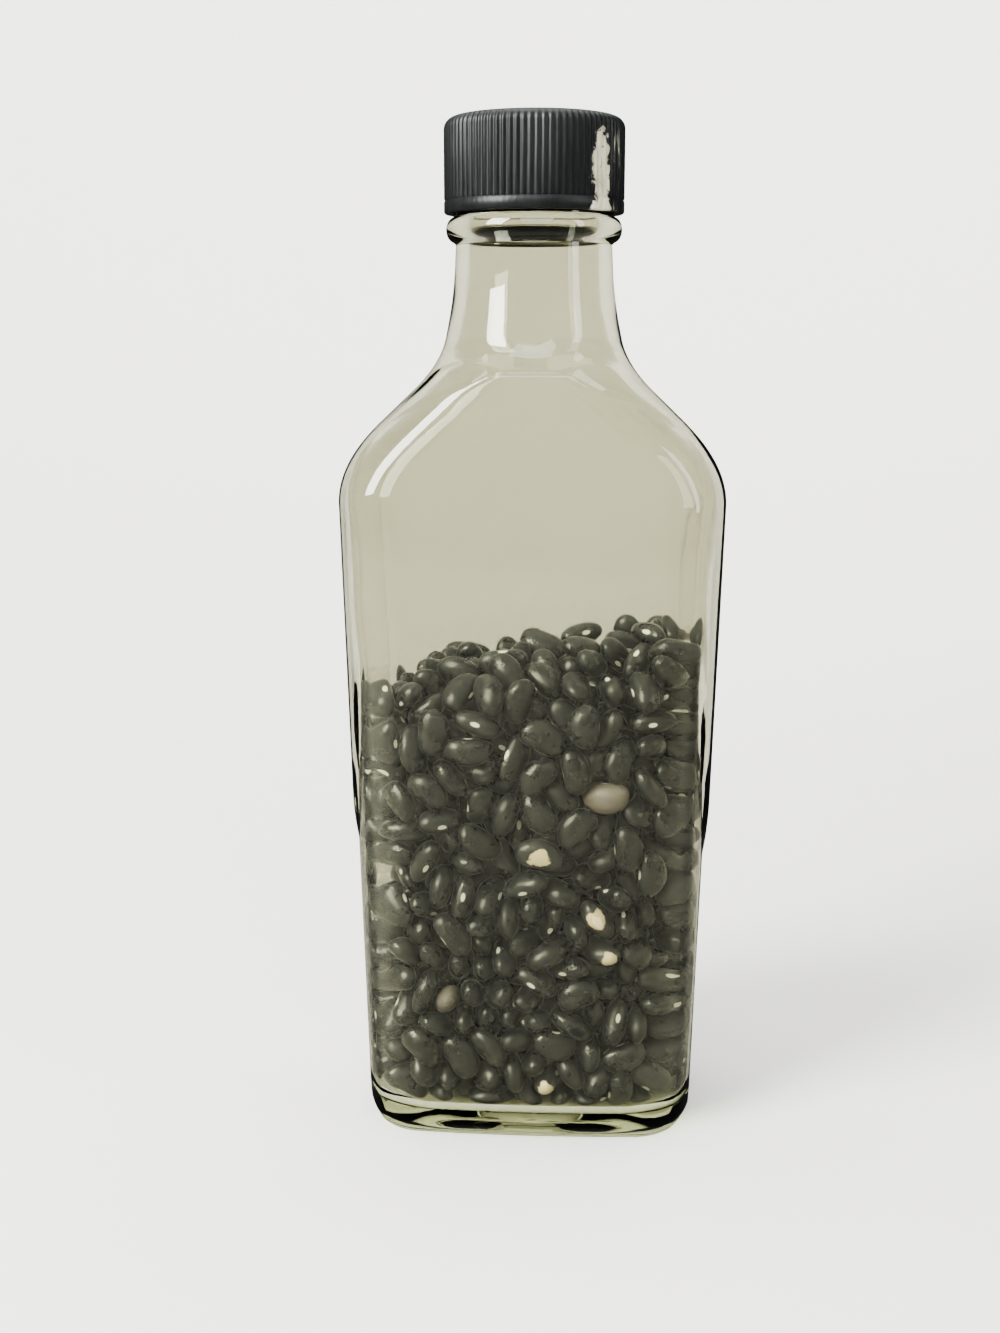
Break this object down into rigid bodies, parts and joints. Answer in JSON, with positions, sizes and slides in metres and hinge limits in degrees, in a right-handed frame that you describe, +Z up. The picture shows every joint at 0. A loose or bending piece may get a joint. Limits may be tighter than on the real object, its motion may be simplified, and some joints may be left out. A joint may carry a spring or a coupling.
{
  "type": "capped glass flask of dry beans",
  "caption": "Clear flat-sided glass flask with an arched front and a ribbed black screw cap, about half full of dry black beans.",
  "frame": {"origin": "centre of the footprint, on the surface that the bottle stands on", "axes": "+Z up the neck, +X along the wide way to the viewer's right, -Y out of the arched front; metres once packed"},
  "size_m": [0.0754, 0.0478, 0.2],
  "materials": {
    "glass": "gloss",
    "cap": "satin",
    "beans": "satin"
  },
  "bodies": {
    "root": {"bottle": "glass", "cap": "cap", "beans": "beans"}
  },
  "joints": []
}
